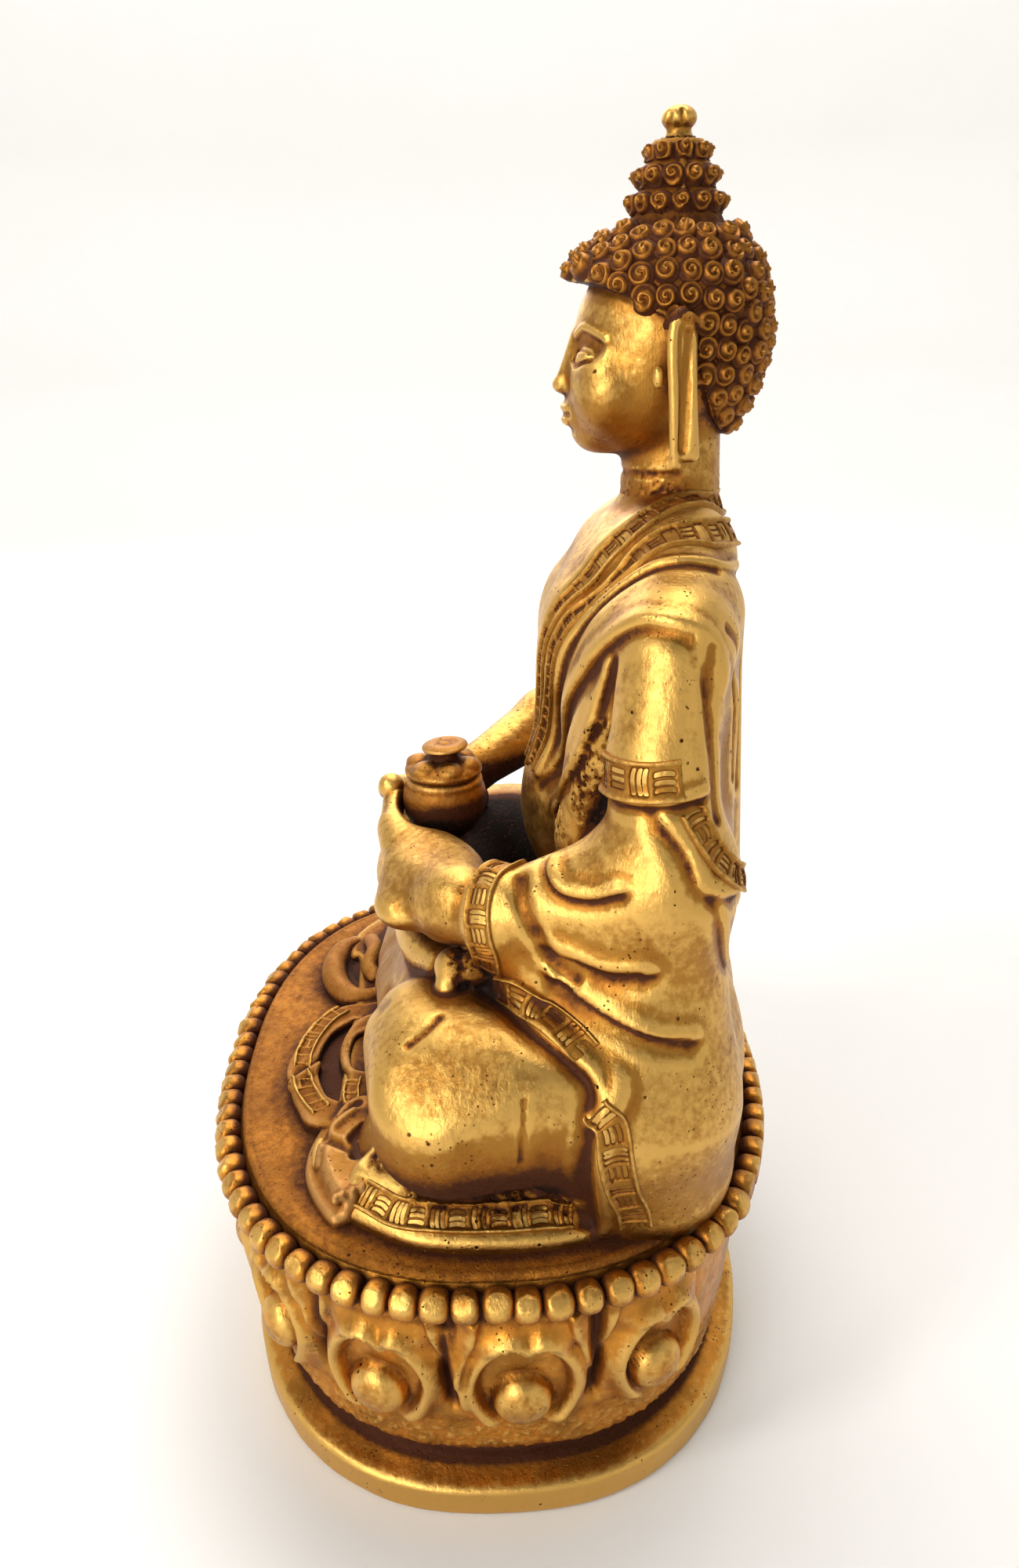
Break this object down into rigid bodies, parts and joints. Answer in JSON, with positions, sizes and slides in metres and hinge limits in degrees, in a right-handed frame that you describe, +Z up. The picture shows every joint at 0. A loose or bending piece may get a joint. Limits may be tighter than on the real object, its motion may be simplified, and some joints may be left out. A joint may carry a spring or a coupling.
{
  "type": "buddha statue",
  "caption": "Seated robed figure with a lidded alms bowl on an oval lotus pedestal, gilt cast copper, hollow, sealed underneath with a copper sheet",
  "frame": {"origin": "centre of the resting face under the base", "axes": "+Z up, the figure faces -Y, +X towards the figure's left side"},
  "size_m": [0.0642, 0.0502, 0.1023],
  "materials": {
    "gilt_figure": "worn mercury gilding, polished high spots over brown recesses",
    "gilt_base": "matte orange gilding with pitting, brighter bead rim",
    "copper_sheet": "dull hammered copper sheet",
    "copper_pin": "plain copper wire",
    "rod_wood": "bare sandalwood",
    "roll_paper": "rolled fibre paper",
    "thread": "wound cotton thread"
  },
  "bodies": {
    "root": {"lotus_base": "gilt_base", "base_plate": "copper_sheet", "figure_body": "gilt_figure", "head": "gilt_figure", "finial": "gilt_figure", "right_arm": "gilt_figure", "left_hand": "gilt_figure", "bowl": "gilt_figure", "bowl_cover": "gilt_figure", "bowl_pin": "copper_pin", "neck_pin": "copper_pin", "body_rivets": "copper_pin", "life_tree": "rod_wood", "mantra_rolls": "roll_paper", "roll_bindings": "thread"}
  },
  "joints": []
}
